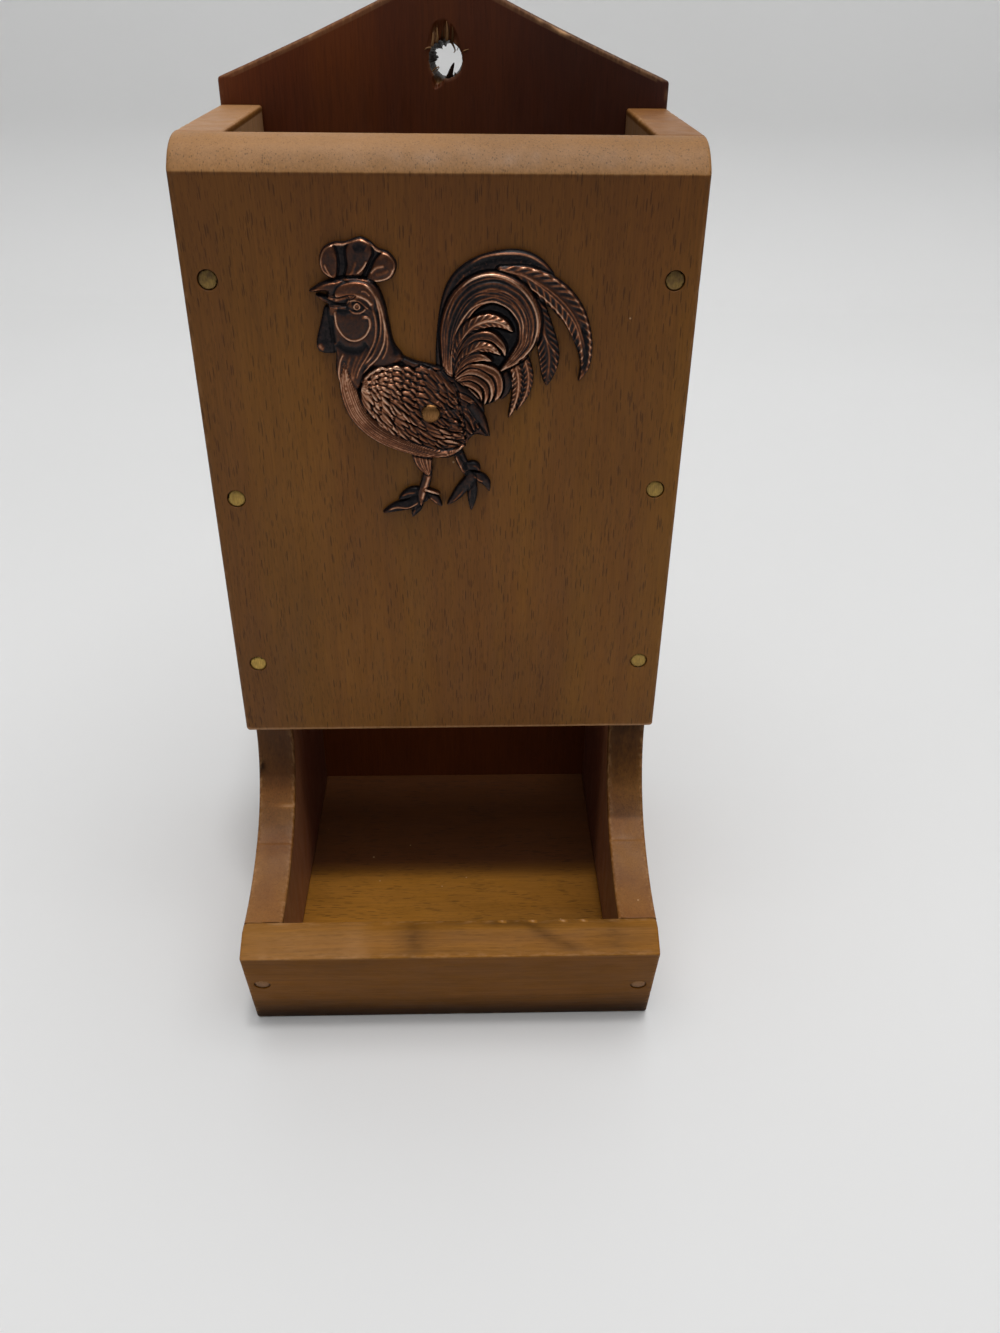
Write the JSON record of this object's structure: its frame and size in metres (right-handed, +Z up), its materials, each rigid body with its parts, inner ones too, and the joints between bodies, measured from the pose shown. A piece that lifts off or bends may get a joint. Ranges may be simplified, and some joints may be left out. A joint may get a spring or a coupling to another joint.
{
  "type": "wall matchbox holder",
  "caption": "Wooden wall-hung chute for matchboxes with an open tray at its foot, a shaped back board and a cast rooster on the front.",
  "frame": {"origin": "bottom centre of the holder's box, on the surface that it stands on", "axes": "+Z up, +Y towards the wall that the back board hangs on, +X to the right seen from the front"},
  "size_m": [0.081, 0.0836, 0.1815],
  "materials": {
    "stained_beech": "stained and clear-lacquered beech, satin, worn at the arrises",
    "pin_brass": "tarnished brass, flat heads",
    "antique_copper": "copper-plated casting, blackened in the recesses and rubbed bright on the ridges"
  },
  "bodies": {
    "root": {"back_board": "stained_beech", "left_side": "stained_beech", "right_side": "stained_beech", "front_panel": "stained_beech", "tray_floor": "stained_beech", "tray_lip": "stained_beech", "front_panel_pins": "pin_brass", "tray_lip_pins": "pin_brass", "back_board_pins": "pin_brass", "floor_pins": "pin_brass", "rooster": "antique_copper", "rooster_pin": "antique_copper"}
  },
  "joints": []
}
